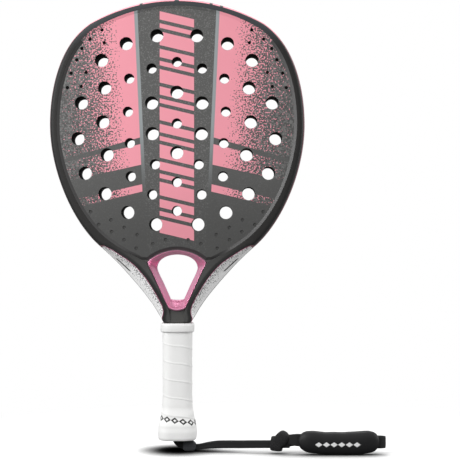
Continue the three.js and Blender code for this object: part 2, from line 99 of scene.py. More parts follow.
def value_at(profile, t, ease=lambda share: share):
    """Value at t of a list of (t, value) pairs; past its end, the last value."""
    for (t0, v0), (t1, v1) in zip(profile, profile[1:]):
        if t <= t1:
            return lerp(v0, v1, ease((t - t0) / (t1 - t0)))
    return profile[-1][1]


# ---- camera
CAMERA_X = 53.5
CAMERA_HEIGHT = 212.8  # above the butt end
CAMERA_DISTANCE = 1450.0
PICTURE_WIDTH = 468.9  # millimetres of the racket's middle plane
SENSOR = 36.0


def linked(name, data):
    """A new object in the scene for a mesh, light or camera."""
    obj = bpy.data.objects.new(name, data)
    bpy.context.collection.objects.link(obj)
    return obj


def make_camera():
    data = bpy.data.cameras.new("camera")
    data.sensor_width = SENSOR
    data.lens = SENSOR * CAMERA_DISTANCE / PICTURE_WIDTH
    camera = linked("camera", data)
    camera.location = point(CAMERA_X, -CAMERA_DISTANCE, CAMERA_HEIGHT)
    camera.rotation_euler = (math.pi / 2, 0, 0)
    bpy.context.scene.camera = camera


# ---- shader maths
EDGE_BLUR = 0.15  # half the width of a printed edge, in millimetres


class Field:
    """A number inside a node tree, with the maths nodes made as they are needed."""

    def __init__(self, tree, socket):
        self.tree = tree
        self.socket = socket

    def __add__(self, other):
        return self.tree.math("ADD", self, other)

    def __sub__(self, other):
        return self.tree.math("SUBTRACT", self, other)

    def __rsub__(self, other):
        return self.tree.math("SUBTRACT", other, self)

    def __mul__(self, other):
        return self.tree.math("MULTIPLY", self, other)

    def __truediv__(self, other):
        return self.tree.math("DIVIDE", self, other)

    def __abs__(self):
        return self.tree.math("ABSOLUTE", self)

    def wave(self, period):
        """A ridge from 0 to 1 and back in each period."""
        return self.tree.math("PINGPONG", self / (period / 2), 1.0)

    def ramp(self, low, high):
        """0 below low and 1 above high, with a smooth step between."""
        node = self.tree.nodes.new("ShaderNodeMapRange")
        node.interpolation_type = "SMOOTHSTEP"
        for name, number in (("Value", self), ("From Min", low), ("From Max", high)):
            self.tree.feed(node.inputs[name], number)
        return Field(self.tree, node.outputs[0])

    def above(self, edge, blur=EDGE_BLUR):
        return self.ramp(edge - blur, edge + blur)

    def between(self, low, high, blur=EDGE_BLUR):
        return self.above(low, blur) * (1 - self.above(high, blur))

    __radd__ = __add__
    __rmul__ = __mul__


class NodeMaths:
    """Sums and patterns made of the nodes of one node tree."""

    def __init__(self, tree):
        self.nodes = tree.nodes
        self.links = tree.links

    def feed(self, socket, value):
        if isinstance(value, Field):
            self.links.new(value.socket, socket)
        else:
            socket.default_value = value

    def math(self, operation, *values):
        node = self.nodes.new("ShaderNodeMath")
        node.operation = operation
        for socket, value in zip(node.inputs, values):
            self.feed(socket, value)
        return Field(self, node.outputs[0])

    def coordinates(self, kind):
        node = self.nodes.new("ShaderNodeTexCoord")
        split = self.nodes.new("ShaderNodeSeparateXYZ")
        self.links.new(node.outputs[kind], split.inputs[0])
        return [Field(self, output) for output in split.outputs]

    def place(self):
        """X, Y and the height above the butt end, in millimetres."""
        x, y, z = (value / MM for value in self.coordinates("Object"))
        return x, y, z - BUTT_Z

    def uv(self):
        """The mesh's own two coordinates."""
        return self.coordinates("UV")[:2]

    def seen(self):
        """1 for what the camera sees itself, 0 for what only lights other things."""
        return Field(self, self.nodes.new("ShaderNodeLightPath").outputs["Is Camera Ray"])

    def noise(self, place, scale, detail=2.0, roughness=0.5):
        combine = self.nodes.new("ShaderNodeCombineXYZ")
        for socket, value in zip(combine.inputs, place):
            self.feed(socket, value)
        node = self.nodes.new("ShaderNodeTexNoise")
        self.links.new(combine.outputs[0], node.inputs["Vector"])
        for name, value in (("Scale", scale), ("Detail", detail), ("Roughness", roughness)):
            node.inputs[name].default_value = value
        return Field(self, node.outputs[0])

    def distance(self, x, y, centre=(0.0, 0.0)):
        x = x - centre[0]
        y = y - centre[1]
        return self.math("POWER", x * x + y * y, 0.5)

    def mix(self, factor, a, b):
        """Colour a where the factor is 0 and b where it is 1."""
        node = self.nodes.new("ShaderNodeMix")
        node.data_type = "RGBA"
        self.feed(node.inputs["Factor"], factor)
        colours = [socket for socket in node.inputs if socket.type == "RGBA"]
        for socket, value in zip(colours, (a, b)):
            self.feed(socket, value)
        return Field(self, next(output for output in node.outputs if output.type == "RGBA"))

    def tint(self, colour, amount):
        """A colour made darker or lighter by a number around 1."""
        node = self.nodes.new("ShaderNodeVectorMath")
        node.operation = "SCALE"
        self.feed(node.inputs[0], colour if isinstance(colour, Field) else colour[:3])
        self.feed(node.inputs["Scale"], amount)
        return Field(self, node.outputs[0])


class Shade(NodeMaths):
    """A procedural material under construction."""

    def __init__(self, name, **sockets):
        self.material = bpy.data.materials.new(name)
        self.material.use_nodes = True
        super().__init__(self.material.node_tree)
        self.shader = self.nodes["Principled BSDF"]
        for socket, value in sockets.items():
            self.shader.inputs[socket.replace("_", " ")].default_value = value

    def colour(self, value):
        self.feed(self.shader.inputs["Base Color"], value)
        return self

    def rough(self, value):
        self.feed(self.shader.inputs["Roughness"], value)
        return self

    def bump(self, height, distance, strength=1.0):
        """A height from 0 to 1 over the surface, worth so many millimetres."""
        node = self.nodes.new("ShaderNodeBump")
        node.inputs["Distance"].default_value = distance * MM
        node.inputs["Strength"].default_value = strength
        self.feed(node.inputs["Height"], height)
        self.links.new(node.outputs[0], self.shader.inputs["Normal"])
        return self


def srgb(*levels):
    """A colour from screen values of 0 to 255."""
    shares = [level / 255 for level in levels]
    return (*(s / 12.92 if s <= 0.04045 else ((s + 0.055) / 1.055) ** 2.4 for s in shares), 1.0)


BLACK = srgb(34, 33, 32)
GRAPHITE = srgb(83, 83, 82)
PINK = srgb(238, 152, 166)
STRIPE = srgb(143, 149, 151)
MAGENTA = srgb(176, 96, 128)
# the side pink with painted shade, for the flanks; the crown keeps the lit pink
SHADED_PINK = srgb(128, 84, 92)
RING_PINK = srgb(230, 156, 188)
SILVER = srgb(250, 250, 250)
SILVER_DIRT = srgb(104, 104, 106)
SILVER_EDGE = srgb(150, 150, 150)
ARM_BLACK = srgb(70, 70, 69)
CROWN_BLACK = srgb(56, 59, 62)
LINE_SHADOW = srgb(28, 28, 28)
TAPE_WHITE = srgb(232, 232, 231)
KNIT_BLACK = srgb(16, 16, 18)
MARK_WHITE = srgb(226, 226, 226)

# ---- face graphics
STRIPE_X = 34.9  # stripe's distance from the axis at STRIPE_Z
STRIPE_Z = 293.3
STRIPE_LEAN = 0.0464
STRIPE_HALF = 1.7
STRIPE_FADE = (240.0, 330.0)
COLUMN_HALF = 17.3
COLUMN_SPAN = (206.0, 432.8)
BAR_LEAN = 0.237
BAR_PERIOD = 37.8
BARS = [(-0.1, 0.36), (0.46, 0.58), (0.68, 0.9)]  # where the pink bars lie in each period
BAR_BLUR = 0.004
# Lower and upper edges of the pink panels beside the stripe, with how steeply they fall outwards
PANELS = [((306.6, 0.28), (500.0, 0.0)), ((278.8, 0.22), (299.7, 0.245)), ((251.5, 0.24), (258.9, 0.23))]
LOW_FACE = (195.0, 290.0)  # the face is darker towards the throat
SPECKLE_START = 48.5  # solid pink up to here at PANEL_Z, and further out above
PANEL_Z = 300.0
SPECKLE_LEAN = 0.093
SPECKLE_FALL = 0.51  # how fast the pink grains thin out with distance
SPECKLE_FULL = 2.3  # the threshold where they start, in spreads
GRAIN_SPREAD = 0.115  # the noise's standard deviation
GRAIN_SCALE = 0.63
NOISE_MIDDLE = 0.5
GRAIN_SLICE, FLECK_SLICE, SPOT_SLICE = 3.0, 7.0, 11.0  # where the noises are cut


def graphite_level(shade, x, z, beside, shadow, mottle):
    """Brightness of the graphite, with light flecks that grow scarce beside the stripe and low down."""
    fleck = shade.noise((x, z, FLECK_SLICE), 0.8, 1.0).ramp(0.52, 0.7)
    scarce = (1 - 0.7 * beside.ramp(-2.0, 0.0)) * (1 - 0.6 * shadow)
    return 0.82 - 0.3 * shadow + 0.2 * mottle + 0.8 * fleck * scarce


def panel_zone(shade, out, z):
    """1 inside the panels and 0 outside."""
    run = out - STRIPE_X
    zone = 0.0
    for (low, low_fall), (high, high_fall) in PANELS:
        part = (z + run * low_fall).above(low) * (1 - (z + run * high_fall).above(high))
        zone = shade.math("MAXIMUM", zone, part)
    return zone


def pink_grains(shade, x, z, out):
    """Solid pink near the stripe, breaking up into grains further out."""
    noise = shade.noise((x, z, GRAIN_SLICE), GRAIN_SCALE, 1.0, 0.4)
    past = shade.math("MAXIMUM", out - SPECKLE_START - SPECKLE_LEAN * (z - PANEL_Z), 0.0)
    threshold = SPECKLE_FALL * shade.math("POWER", past, 0.5) - SPECKLE_FULL
    grains = ((noise - NOISE_MIDDLE) / GRAIN_SPREAD - threshold).above(0.0, 0.2)
    return shade.math("MAXIMUM", grains, 1 - past.ramp(0.0, 0.5))


def graphite_spots(shade, x, z):
    """Light and dark spots in the graphite between the grains."""
    noise = shade.noise((x, z, SPOT_SLICE), 0.6, 1.0)
    return 0.8 * noise.ramp(0.5, 0.58) - 0.25 * (1 - noise.ramp(0.38, 0.46))


def middle_column(shade, x, z, out):
    """Leaning pink bars up the middle of the face."""
    level = z + BAR_LEAN * x
    along = shade.math("FRACT", (level - COLUMN_SPAN[0]) / BAR_PERIOD)
    bars = sum(along.between(low, high, BAR_BLUR) for low, high in BARS)
    return bars * (1 - out.above(COLUMN_HALF)) * level.between(*COLUMN_SPAN)


def face_finish():
    shade = Shade("face_graphite", Roughness=0.42, Coat_Weight=0.12, Coat_Roughness=0.35)
    x, _, z = shade.place()
    out = abs(x)
    beside = out - (STRIPE_X + STRIPE_LEAN * (z - STRIPE_Z))
    mottle = shade.noise((x, z), 1.4, 1.0)
    shadow = 1 - z.ramp(*LOW_FACE)
    zone = panel_zone(shade, out, z)
    graphite = shade.tint(GRAPHITE, graphite_level(shade, x, z, beside, shadow, mottle))
    past_stripe = beside.ramp(STRIPE_HALF, STRIPE_HALF + 1)
    graphite = shade.tint(graphite, 1 + zone * graphite_spots(shade, x, z) * past_stripe)
    pink_panel = zone * pink_grains(shade, x, z, out) * beside.above(STRIPE_HALF, 0.1)
    pink = shade.tint(PINK, 0.9 - 0.12 * shadow + 0.08 * mottle)
    pink_parts = shade.math("MAXIMUM", pink_panel, middle_column(shade, x, z, out))
    stripe = beside.between(-STRIPE_HALF, STRIPE_HALF) * z.ramp(*STRIPE_FADE)
    shade.colour(shade.mix(stripe, shade.mix(pink_parts, graphite, pink), STRIPE))
    shade.bump(mottle + 0.6 * pink_panel, 0.03, 0.5)
    return shade.material


def plain_finish(name, colour, roughness, grain_scale=0.8, depth=0.04, spread=0.12, **sockets):
    """A moulded or painted surface: slight mottling in its colour and a fine grain in its surface."""
    shade = Shade(name, Roughness=roughness, **sockets)
    grain = shade.noise(shade.place(), grain_scale, 3.0)
    shade.colour(shade.tint(colour, 1 - spread / 2 + spread * grain)).bump(grain, depth, 0.6)
    return shade.material


# ---- frame paint
ARM_TOP = 197.0  # silver sides below this height, painted sides above
ARM_TOP_BLUR = 0.3
FLANK_TO_CROWN = (395.0, 420.0)  # heights where the flanks' painted shade gives way to the crown's lit pink
PEAK_SLOPE = 1.5  # steepness of the dark peak at the crown
PEAK_REACH = (3.9, 4.4)  # how far out from the paint line its tip fades
TABS = [-36.0, 34.6, 45.0]  # small dark tabs on both sides of the peak
TAB_HALF = 1.6
TAB_REACH = (1.8, 2.2)
MARKS_FROM = 14.0  # the peak and tabs start this far below the crown
STREAK_Z = 177.0  # middle of the dark streak near the silver's outer edge
STREAK_LEAN = 0.1
STREAK_OUT = (3.0, 4.3)
STREAK_SPAN = (171.0, 184.0)
LINE_WIDTH = (-1.0, 0.5)  # the coloured line along the ridge
SHADOW_REACH = (-5.2, -2.6)  # the dark front is darkest beside the line


def silver_paint(shade, x, y, z, edge, rest):
    """Speckled silver, clean near the outer edge, with a dark streak and a dull rim."""
    speckle = shade.noise((x, y * 0.6, z), 0.9, 2.0, 0.6)
    dirt = (speckle - 0.015 * edge).ramp(0.46, 0.55) * rest.ramp(1.6, 3.2)
    silver = shade.mix(dirt, SILVER, SILVER_DIRT)
    streak = (rest + STREAK_LEAN * (z - STREAK_Z)).between(*STREAK_OUT)
    silver = shade.mix(streak * z.between(*STREAK_SPAN, 1.0), silver, BLACK)
    return shade.mix(1 - rest.ramp(0.3, 0.9), silver, SILVER_EDGE)


def crown_marks(shade, x, z, edge):
    """The dark peak and the tabs at the crown."""
    marks = 1 - (edge + abs(x) * PEAK_SLOPE).ramp(*PEAK_REACH)
    near = 1 - edge.ramp(*TAB_REACH)
    for tab in TABS:
        marks = marks + near * x.between(tab - TAB_HALF, tab + TAB_HALF, 0.6)
    return shade.math("MINIMUM", marks, 1.0) * z.ramp(CROWN - MARKS_FROM, CROWN - MARKS_FROM + 1)


def dark_paint(shade, z, edge, grain):
    """The front's black: greyer on the arms and at the crown, darker beside the line."""
    dark = shade.mix(z.ramp(ARM_TOP - 30, ARM_TOP + 10), ARM_BLACK, BLACK)
    dark = shade.mix(edge.ramp(*SHADOW_REACH) * 0.85, dark, LINE_SHADOW)
    dark = shade.mix(z.ramp(*FLANK_TO_CROWN), dark, CROWN_BLACK)
    return shade.tint(dark, 0.85 + 0.3 * grain)


def frame_finish():
    """UV holds the distance outside the paint line and the distance left to the outer edge."""
    shade = Shade("frame_lacquer", Roughness=0.55, Specular_IOR_Level=0.3)
    x, y, z = shade.place()
    edge, rest = shade.uv()
    grain = shade.noise((x, y, z), 0.5, 3.0)
    # painted shade: the side pink is darker on the flanks than at the crown
    flank = shade.mix(z.ramp(*FLANK_TO_CROWN), SHADED_PINK, PINK)
    on_head = (z + 0.55 * edge).above(ARM_TOP, ARM_TOP_BLUR)
    outside = shade.mix(on_head, silver_paint(shade, x, y, z, edge, rest), flank)
    line = shade.mix(z.above(ARM_TOP, ARM_TOP_BLUR), MAGENTA, flank)
    outside = shade.mix(edge.between(*LINE_WIDTH), outside, line)
    painted = edge.above(0.0, 0.12) * (1 - crown_marks(shade, x, z, edge))
    shade.colour(shade.mix(painted, dark_paint(shade, z, edge, grain), outside)).bump(grain, 0.02, 0.4)
    return shade.material


def ring_finish():
    """Brushed pink metal, with streaks that run round the ring."""
    shade = Shade("ring_metal", Metallic=0.7, Roughness=0.32)
    x, y, z = shade.place()
    streak = shade.noise((x * 0.35, y * 2.5, z * 0.35), 1.0, 3.0)
    shade.colour(shade.tint(RING_PINK, 0.8 + 0.4 * streak)).rough(0.26 + 0.14 * streak)
    shade.bump(streak, 0.03, 0.5)
    return shade.material


# ---- grip and strap materials
WRAP_PITCH = 17.6
WRAP_START = -0.17
MARK_Z = 20.6  # height of the printed marks round the grip
MARK_LEAN = 0.135
MARK_PITCH = 8.2
MARK_RISE = 3.1
MARK_LINE = (0.42, 1.0)  # the drawn part of a mark, from its middle out


def grip_finish():
    """UV holds the share of a tape's width from its edge and the distance round the grip."""
    shade = Shade("grip_tape", Roughness=0.62, Sheen_Weight=0.15)
    x, y, z = shade.place()
    turn, girth = shade.uv()
    grain = shade.noise((x, y, z), 2.2, 2.0)
    cloud = shade.noise((x, y, z), 0.09, 2.0)
    tape = shade.tint(TAPE_WHITE, 0.94 + 0.07 * grain + 0.05 * cloud)
    # painted shade: a thin darker line along each overlapping edge of the tape, where its step throws shade
    seam = turn.ramp(0.93, 0.995) * (1 - turn).ramp(0.0, 0.004)
    tape = shade.tint(tape, 1 - 0.1 * seam)
    lozenge = abs(z + x * MARK_LEAN - MARK_Z) / MARK_RISE + girth.wave(MARK_PITCH)
    marks = lozenge.between(*MARK_LINE, 0.04)
    shade.colour(shade.mix(marks, tape, BLACK)).bump(grain, 0.08, 0.5)
    return shade.material


def webbing_finish(name, colour, pitch=0.9, depth=0.16):
    """Woven tape; UV is across and along the band, in millimetres."""
    shade = Shade(name, Roughness=0.78, Sheen_Weight=0.04, Specular_IOR_Level=0.25)
    across, along = shade.uv()
    shift = shade.math("ROUND", across / pitch)
    ribs = (along + shift * pitch * 0.5).wave(pitch)
    rows = across.wave(pitch)
    weave = ribs * 0.6 + rows * 0.4
    fluff = shade.noise((across, along), 1.1, 3.0)
    shade.colour(shade.tint(colour, 0.55 + 0.5 * weave + 0.5 * fluff)).bump(weave + 0.3 * fluff, depth, 0.9)
    return shade.material


KNIT_PITCH = 0.5
PAD_MARK_SPAN = (-24.0, 22.0)
PAD_MARK_PITCH = 7.6
PAD_MARK_RISE = 2.6


def neoprene_finish():
    """UV holds the height on the pad and the distance along it from its middle, in millimetres."""
    shade = Shade("pad_knit", Roughness=0.5, Specular_IOR_Level=0.32)
    height, along = shade.uv()
    knit = (height + 0.5 * along).wave(KNIT_PITCH) * (height - 0.5 * along).wave(KNIT_PITCH)
    cloth = shade.tint(KNIT_BLACK, 0.8 + 0.4 * knit)
    lozenge = abs(height) / PAD_MARK_RISE + 1 - (along - PAD_MARK_SPAN[0]).wave(PAD_MARK_PITCH)
    marks = (1 - lozenge.ramp(0.9, 1.0)) * along.between(*PAD_MARK_SPAN)
    shade.colour(shade.mix(marks, cloth, MARK_WHITE)).bump(knit, 0.05, 0.6)
    return shade.material


WEBBING_BLACK = webbing_finish("webbing_black", srgb(28, 28, 29))
WEBBING_FOLD = webbing_finish("webbing_fold", srgb(56, 57, 60))
RIBBED = webbing_finish("webbing_ribbed", srgb(30, 30, 31), pitch=1.8, depth=0.7)
NEOPRENE = neoprene_finish()
HOLE_DARK = plain_finish("hole_dark", srgb(8, 8, 8), 0.8, Specular_IOR_Level=0.1)
BEVEL_LACQUER = plain_finish("bevel_lacquer", srgb(50, 49, 49), 0.42, Coat_Weight=0.25, Coat_Roughness=0.35)
DIMPLE_GREY = plain_finish("dimple_grey", srgb(58, 58, 57), 0.6)
THROAT_DARK = plain_finish("throat_lacquer", srgb(70, 70, 68), 0.38, Coat_Weight=0.2)
COLLAR_RUBBER = plain_finish("collar_rubber", srgb(226, 226, 225), 0.5)
CAP_PLASTIC = plain_finish("cap_plastic", srgb(40, 40, 40), 0.5)
FACE_LAYERS = [face_finish(), HOLE_DARK, BEVEL_LACQUER, DIMPLE_GREY]
PAINT, HOLE_WALL, BEVEL_SIDE, DIMPLE_FLOOR = range(len(FACE_LAYERS))


# ---- mesh helpers
def make_object(name, mesh, materials, smooth_faces=True):
    obj = linked(name, mesh)
    for material in materials:
        mesh.materials.append(material)
    if smooth_faces:
        mesh.polygons.foreach_set("use_smooth", [True] * len(mesh.polygons))
    return obj


def finished_mesh(name, bm):
    """Turns the working mesh into one that an object can hold."""
    mesh = bpy.data.meshes.new(name)
    bm.to_mesh(mesh)
    bm.free()
    return mesh


def loft(name, rings, material, coordinates=None, looped=False):
    """A surface through equal rings of points, closed at its ends. coordinates gives each point's (u, v)."""
    bm = bmesh.new()
    layer = bm.loops.layers.uv.new("map") if coordinates else None
    grid = [[bm.verts.new(p) for p in ring] for ring in rings]
    sides = len(rings[0])
    for r in range(len(rings) if looped else len(rings) - 1):
        for s in range(sides):
            corners = [(r, s), (r, s + 1), (r + 1, s + 1), (r + 1, s)]
            face = bm.faces.new([grid[i % len(rings)][j % sides] for i, j in corners])
            if layer:
                for loop, (i, j) in zip(face.loops, corners):
                    loop[layer].uv = coordinates(i, j)
    if not looped:
        for ring in (grid[0], grid[-1]):
            bm.faces.new(ring)
    bmesh.ops.recalc_face_normals(bm, faces=bm.faces)
    return make_object(name, finished_mesh(name, bm), [material])


def put(obj, body, slot, *nodes):
    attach(obj, body)
    if nodes:
        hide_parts(*nodes)
    return obj


# ---- lines
def catmull_rom(p, q, r, s, t):
    """The place at share t from q to r, on the smooth curve through four points."""
    return tuple(0.5 * (2 * b + (c - a) * t + (2 * a - 5 * b + 4 * c - d) * t * t
                        + (3 * b - a - 3 * c + d) * t ** 3) for a, b, c, d in zip(p, q, r, s))


def smooth_line(points, steps, looped=False):
    """A smooth line through the points, with so many steps between two of them."""
    points = [tuple(p) for p in points]
    before, after = (points[-1:], points[:2]) if looped else (points[:1], points[-1:])
    around = before + points + after
    line = [catmull_rom(*around[i:i + 4], k / steps) for i in range(len(around) - 3) for k in range(steps)]
    return line if looped else line + points[-1:]


def chaikin(points, rounds):
    """An open line with its corners cut, its ends kept."""
    for _ in range(rounds):
        cut = [points[0]]
        for a, b in zip(points, points[1:]):
            cut.append([lerp(p, q, 0.25) for p, q in zip(a, b)])
            cut.append([lerp(p, q, 0.75) for p, q in zip(a, b)])
        points = cut + [points[-1]]
    return points


def travelled(line):
    """Distance along a line to each of its points."""
    run = [0.0]
    for a, b in zip(line, line[1:]):
        run.append(run[-1] + math.dist(a, b))
    return run


def sweep(line, reference, section_at):
    """Rings along a line; section_at(i) gives (aside, upright) offsets, aside being square to reference."""
    rings = []
    for i, here in enumerate(line):
        before, after = line[max(i - 1, 0)], line[min(i + 1, len(line) - 1)]
        along = Vector([b - a for a, b in zip(before, after)]).normalized()
        aside = along.cross(Vector(reference)).normalized()
        upright = aside.cross(along)
        rings.append([point(*(Vector(here) + aside * a + upright * u)) for a, u in section_at(i)])
    return rings


# ---- strap
TAIL_ROUTE = [(18.4, -5.8, -7.3), (21.4, -6.1, -7.1), (23.8, -6.8, -6.8), (31, -8.2, -5.4), (40, -10, -4.3),
              (52, -12.5, -3.7), (64, -14.9, -3.4), (76, -17.4, -2.9), (88, -19.9, -2.5), (100, -22.3, -2.1),
              (113, -25, -1.6)]
TAIL_HEIGHT = 7.8
TAIL_THICKNESS = 3.8
TAIL_GROWTH = (0.72, 26.0)  # share of the height at the start, length of the growth
TAIL_FOLD = [(20.2, -6, -7.1), (29, -7.8, -5.4)]  # two points on the tail's first stretch; make_tail turns them into places and uses them no further
LOOP_ROUTE = [(108, -25.2, 0.4), (112, -27.0, 1.8), (116.5, -29.8, 3.0), (121, -31, 3.1), (128, -31, 2.4),
              (150, -31, 1.2), (175, -31, 1), (197, -31, 0.8), (203, -31, 0.8), (206.5, -30, 0.8),
              (208.6, -27.4, 0.8), (207, -24.6, 0.8), (203, -23.2, 0.8), (190, -22.8, 0.8), (170, -22.6, 1),
              (145, -22.6, 1.4), (127, -22.6, 2.2), (119, -22.4, 2.2), (113, -22.6, 1.4), (109, -23, 0.4)]
LOOP_GROWTH = (0.44, 13.0)
WEBBING = 12.0
WEBBING_THICKNESS = 1.6
BAND_STEPS = 8  # rings between two points of a route
UP = (0, 0, 1)


def oval(width, thickness, sides=28, power=0.55):
    """Section of a woven band: (through it, across it) points with full edges."""
    return [(signed_power(c, power) * thickness / 2, signed_power(s, power) * width / 2)
            for c, s in directions(sides)]


def band(name, route, section, growth):
    """A flat band on edge along a route, lower at its start; UV is across and along it in millimetres."""
    line = smooth_line(route, BAND_STEPS)
    run = travelled(line)
    start, length = growth

    def section_at(i):
        share = lerp(start, 1.0, smooth(run[i] / length))
        return [(aside, across * share) for aside, across in section]

    across_at = [sum(place) for place in section + section[:1]]
    return loft(name, sweep(line, UP, section_at), WEBBING_BLACK, lambda i, j: (across_at[j], run[i]))


def make_tail():
    """Two layers of webbing sewn together, with a shallow groove between them."""
    half, thick = TAIL_HEIGHT / 2, TAIL_THICKNESS / 2
    quarter = [(0.15, half - 0.55), (0.4, half - 0.1), (0.9, half), (1.5, half - 0.35),
               (thick - 0.08, half - 1.2), (thick, half - 2.2), (thick - 0.15, 0.8)]
    section = quarter + [(x, -z) for x, z in reversed(quarter)]
    section = section + [(-x, z) for x, z in reversed(section)]
    tail = band("tail_webbing", TAIL_ROUTE, section, TAIL_GROWTH)
    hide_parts("strap_tail")
    point(*TAIL_FOLD[0])
    point(*TAIL_FOLD[1])
    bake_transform(tail)
    return tail


def make_loop():
    loop = band("loop_webbing", LOOP_ROUTE, oval(WEBBING, WEBBING_THICKNESS), LOOP_GROWTH)
    return put(loop, "strap", "webbing", "wrist_loop")


KEEPER_MIDDLE = Vector((100.8, -22.5, -2.0))
STRAP_WAY = (0.979, -0.203, 0)
KEEPER_STEPS = 72
KEEPER_SIDES = 32
KEEPER_ROUNDING = 0.7
KEEPER_GIRTH = 3.2  # girth over the sum of its half length and half depth


def keeper_ring(name, middle, lean, size, section, crown, taper=(0.0, 0.0)):
    """A band round the strap. lean is its long axis (along the strap, up), size its half length and half
    depth, crown how much its edges draw in, and taper how much narrower it gets at its low and high end."""
    along_strap = Vector(STRAP_WAY).normalized()
    towards = Vector((-along_strap.y, along_strap.x, 0))
    long_axis = (along_strap * lean[0] + Vector(UP) * lean[1]).normalized()
    across = long_axis.cross(towards).normalized()
    half_width = max(u for _, u in section)
    rings = []
    for c, s in directions(KEEPER_STEPS):
        px, py = signed_power(c, KEEPER_ROUNDING), signed_power(s, KEEPER_ROUNDING)
        drawn_in = 1 - taper[px > 0] * px ** 4
        ring = []
        for out, u in section:
            grow = out - crown * (u / half_width) ** 2
            place = middle + long_axis * px * (size[0] + grow) + towards * py * (size[1] + grow)
            ring.append(point(*(place + across * u * drawn_in)))
        rings.append(ring)
    step = KEEPER_GIRTH * sum(size) / KEEPER_STEPS
    return loft(name, rings, RIBBED, lambda i, j: (section[j % KEEPER_SIDES][1], step * i), looped=True)


def make_keeper():
    """A block of webbing round the strap, with a wider wrap leaning over the loop's start."""
    block = keeper_ring("keeper_band", KEEPER_MIDDLE + Vector((-0.4, 0, 0.4)), (0.08, 1.0), (6.4, 4.6),
                        oval(11.6, 2.2, KEEPER_SIDES, 0.5), 0.35)
    wrap = keeper_ring("keeper_wrap", KEEPER_MIDDLE + Vector((4.2, -0.6, 5.2)), (0.66, 0.75), (7.6, 5.4),
                       oval(13.0, 2.4, KEEPER_SIDES, 0.5), 1.2, taper=(0.8, 0.3))
    put(block, "keeper", "webbing", "strap_keeper")
    put(wrap, "keeper", "webbing")
    return [block, wrap]


PAD_MIDDLE = (161.9, -31.0, 1.0)
PAD_HALF = 40.2
# Upper and lower outline: share of the half length, and height over the pad's middle
PAD_TOP = [(-1, 2.6), (-0.985, 5.4), (-0.95, 7.9), (-0.88, 10.2), (-0.79, 11.4), (-0.66, 11.5), (-0.26, 10.2),
           (0.1, 10.3), (0.44, 11.2), (0.74, 11.6), (0.86, 10.7), (0.94, 8.6), (0.985, 5.6), (1, 2.6)]
PAD_BOTTOM = [(-1, -1.2), (-0.985, -3.6), (-0.95, -5.8), (-0.88, -8.0), (-0.79, -9.8), (-0.66, -11.0),
              (-0.38, -12.0), (0.13, -12.4), (0.62, -11.6), (0.8, -10.4), (0.9, -8.6), (0.96, -6.2),
              (0.99, -3.6), (1, -1.8)]
PAD_SIDES = 56
PAD_ROWS = 120
PAD_THICKNESS = 6.5
PAD_END_THINNING = 0.62
PAD_ROUNDING = 0.85
SEAM_ANGLE = 100.0  # where the sleeve is sewn shut, in degrees round its section
SEAM_SPREAD = 5.0
SEAM_DEPTH = 0.05
RIPPLE = 0.008
MOUTH = 2.4
PAD_MARK_DROP = 1.5  # the marks' middle line is this far below the pad's middle


def pad_ring(share, phases):
    """The sleeve's section at a share of its half length, slightly uneven and drawn in at the seam."""
    top, bottom = value_at(PAD_TOP, share), value_at(PAD_BOTTOM, share)
    middle, half = (top + bottom) / 2, (top - bottom) / 2
    thick = PAD_THICKNESS * (1 - PAD_END_THINNING * abs(share) ** 7)
    ring = []
    for i, (c, s) in enumerate(directions(PAD_SIDES)):
        angle = 2 * math.pi * i / PAD_SIDES
        seam = math.exp(-((math.degrees(math.atan2(s, c)) - SEAM_ANGLE) / SEAM_SPREAD) ** 2)
        waves = sum(math.sin(k * 5 * share + phase + angle) for k, phase in enumerate(phases, 1))
        swell = 1 + RIPPLE * waves - SEAM_DEPTH * seam
        y = signed_power(c, PAD_ROUNDING) * thick * swell
        z = signed_power(s, PAD_ROUNDING) * half * swell
        ring.append(point(PAD_MIDDLE[0] + share * PAD_HALF, PAD_MIDDLE[1] + y, PAD_MIDDLE[2] + middle + z))
    return ring


def make_pad():
    """A soft sleeve around the webbing, sewn shut near its top edge, with turned-in mouths."""
    random.seed(4)
    phases = [random.uniform(0, 2 * math.pi) for _ in range(3)]
    rings = [pad_ring(-math.cos(math.pi * row / PAD_ROWS), phases) for row in range(PAD_ROWS + 1)]
    inwards = Vector((MOUTH * MM, 0, 0))
    rings = [[p + inwards for p in rings[0]]] + rings + [[p - inwards for p in rings[-1]]]

    def knit_place(i, j):
        place = rings[i][j % PAD_SIDES] / MM
        height = place.z - BUTT_Z - PAD_MIDDLE[2] + PAD_MARK_DROP
        behind = PAD_HALF if place.y > PAD_MIDDLE[1] + 1 else 0.0
        return height + behind, place.x - PAD_MIDDLE[0]

    obj = loft("pad_cover", rings, NEOPRENE, knit_place)
    put(obj, "strap", "neoprene", "pad_sleeve", "pad_foam")
    return obj


def declare_cord(obj, route, steps, companions):
    """Works out a path along the route, with so many path points between two of the route's own, the route's
    length and a list of the companions, but keeps none of them.
    """
    path = [point(*p) for p in smooth_line(route, steps)]
    travelled(route)[-1] * MM
    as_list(companions)


NECK_ROUTE = [(0.0, 0, 7.0), (0.2, 0, 2.5), (0.6, 0, -1.0), (3.0, -0.6, -4.2), (6.6, -1.6, -6.0),
              (11.0, -2.6, -6.6)]
NECK_WIDTHS = [8.0, 9.5, 10.5, 9.4, 8.2, 7.0]
NECK_THICKNESS = 3.2


def make_anchor():
    """The strap's neck: it leaves the butt and curves over to the hitch."""
    line = smooth_line(NECK_ROUTE, BAND_STEPS)
    run = travelled(line)
    widths = [(i * BAND_STEPS, width) for i, width in enumerate(NECK_WIDTHS)]
    flat = oval(NECK_WIDTHS[0], NECK_WIDTHS[0])

    def section_at(i):
        return [(across, through) for through, across in oval(value_at(widths, i), NECK_THICKNESS)]

    obj = loft("neck_webbing", sweep(line, (0, 1, 0), section_at), WEBBING_BLACK,
               lambda i, j: (flat[j % len(flat)][1], run[i]))
    return put(obj, "strap_head", "webbing", "strap_anchor")


HITCH_ROWS = 24
HITCH_THICKNESS = 10.6
HITCH_THINNING = 0.28  # towards both ends
STITCH_PITCH = 0.9


